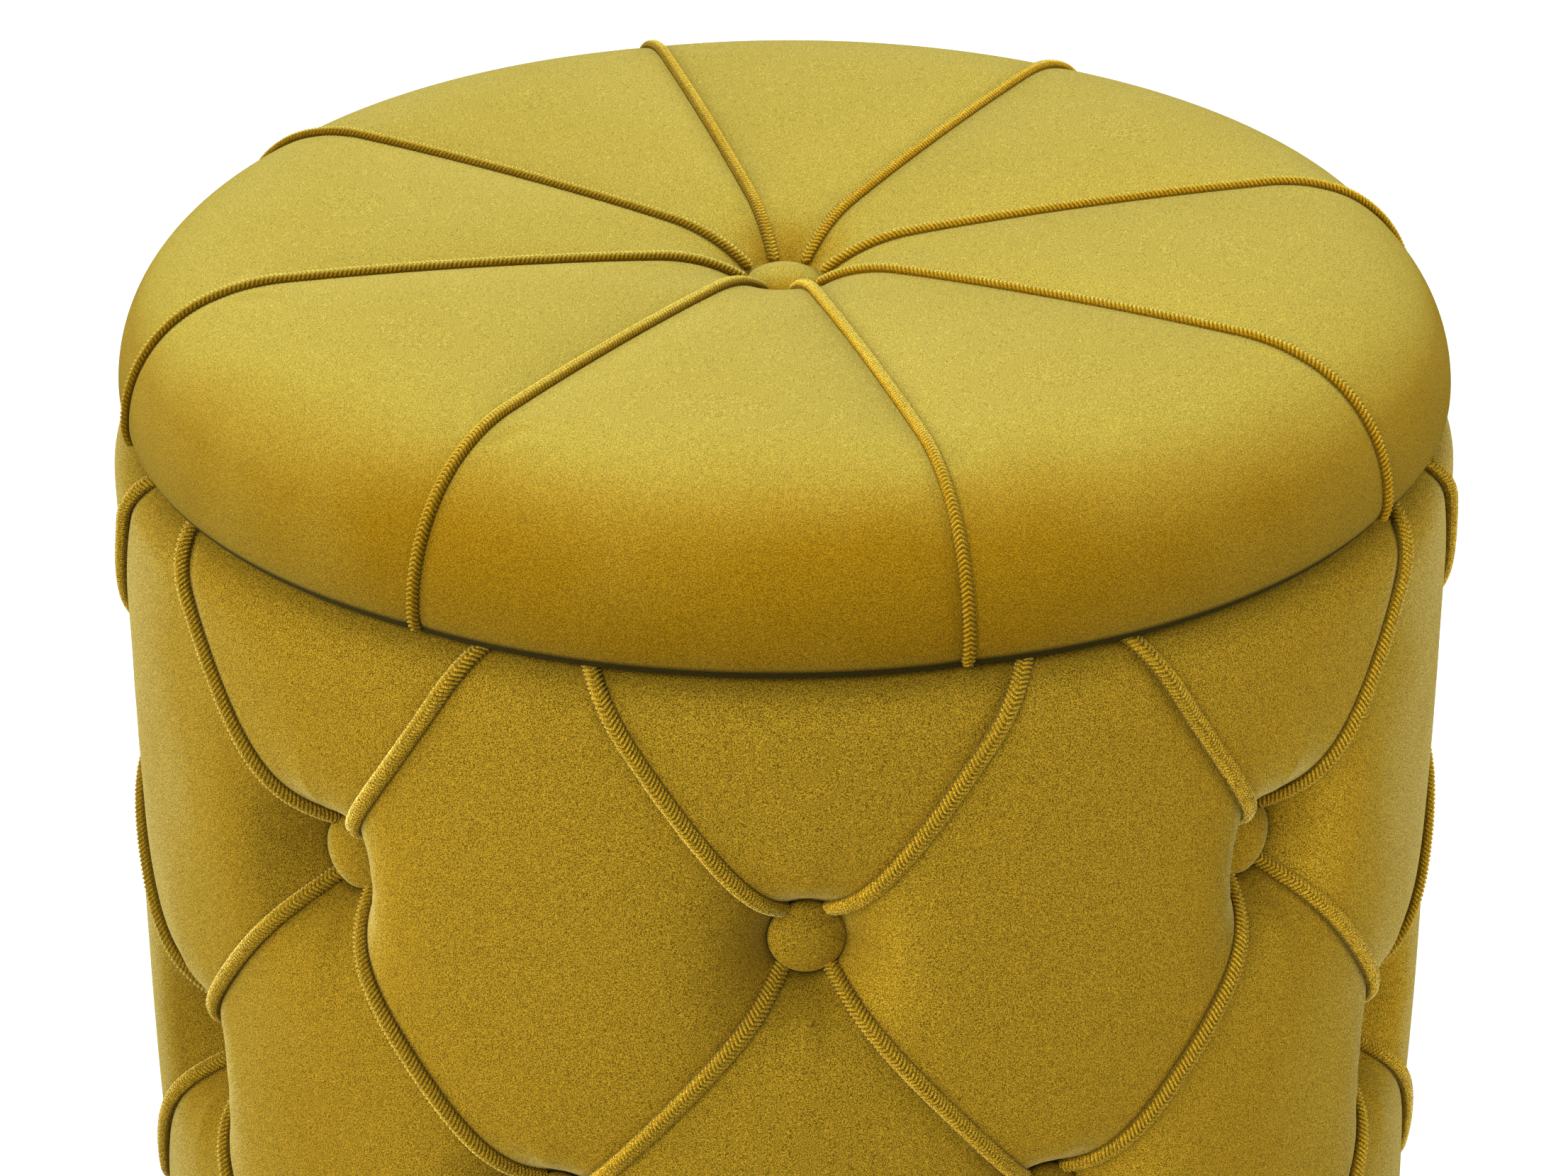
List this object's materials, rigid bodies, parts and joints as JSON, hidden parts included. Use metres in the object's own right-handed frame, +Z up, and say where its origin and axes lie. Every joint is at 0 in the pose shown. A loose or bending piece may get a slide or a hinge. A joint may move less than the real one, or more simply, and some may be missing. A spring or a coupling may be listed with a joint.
{
  "type": "storage ottoman",
  "caption": "Round storage ottoman with a diamond-tufted velvet drum, pin-tucked seams, covered buttons and a lift-off cushioned lid.",
  "frame": {"origin": "on the floor, under the middle of the drum", "axes": "+Z up along the drum's axis, -Y towards the front, +X to the right"},
  "size_m": [0.475, 0.475, 0.4015],
  "materials": {
    "velvet": "short-pile mustard velvet, soft sheen",
    "foam": "open-cell polyurethane foam",
    "plywood": "sanded poplar plywood",
    "pine": "planed pine",
    "hardboard": "smooth brown hardboard",
    "lining": "black spunbond non-woven cloth",
    "floor_felt": "black needle felt",
    "twine": "waxed nylon tufting twine",
    "black_plastic": "moulded black plastic",
    "steel": "zinc-plated steel"
  },
  "bodies": {
    "drum": {"wall_cover": "velvet", "upper_wall_welts": "velvet", "middle_wall_welts": "velvet", "lower_wall_welts": "velvet", "upper_wall_buttons": "velvet", "lower_wall_buttons": "velvet", "wall_foam": "foam", "bottom_board": "plywood", "rim_ring": "plywood", "wall_slat_1": "pine", "wall_slat_2": "pine", "wall_slat_3": "pine", "wall_slat_4": "pine", "wall_slat_5": "pine", "wall_slat_6": "pine", "wall_slat_7": "pine", "wall_slat_8": "pine", "wall_skin": "hardboard", "side_lining": "lining", "dust_cover": "lining", "floor_pad": "floor_felt", "upper_button_twines": "twine", "lower_button_twines": "twine", "foot_1": "black_plastic", "foot_2": "black_plastic", "foot_3": "black_plastic", "foot_4": "black_plastic", "upper_button_washers": "black_plastic", "lower_button_washers": "black_plastic", "foot_screws": "steel", "rim_screws": "steel", "base_screws": "steel", "rim_staples": "steel", "base_staples": "steel"},
    "lid": {"lid_board": "plywood", "lid_foam": "foam", "lid_cover": "velvet", "lid_welt_1": "velvet", "lid_welt_2": "velvet", "lid_welt_3": "velvet", "lid_welt_4": "velvet", "lid_welt_5": "velvet", "lid_welt_6": "velvet", "lid_welt_7": "velvet", "lid_welt_8": "velvet", "lid_button": "velvet", "lid_button_twine": "twine", "lid_button_washer": "black_plastic", "locating_disc": "plywood", "disc_screws": "steel", "lid_lining": "lining", "lid_staples": "steel"}
  },
  "joints": [
    {"name": "lid_lift", "type": "slide", "parent": "drum", "child": "lid", "axis": [0, 0, 1], "range_m": [0, 0.4]}
  ]
}
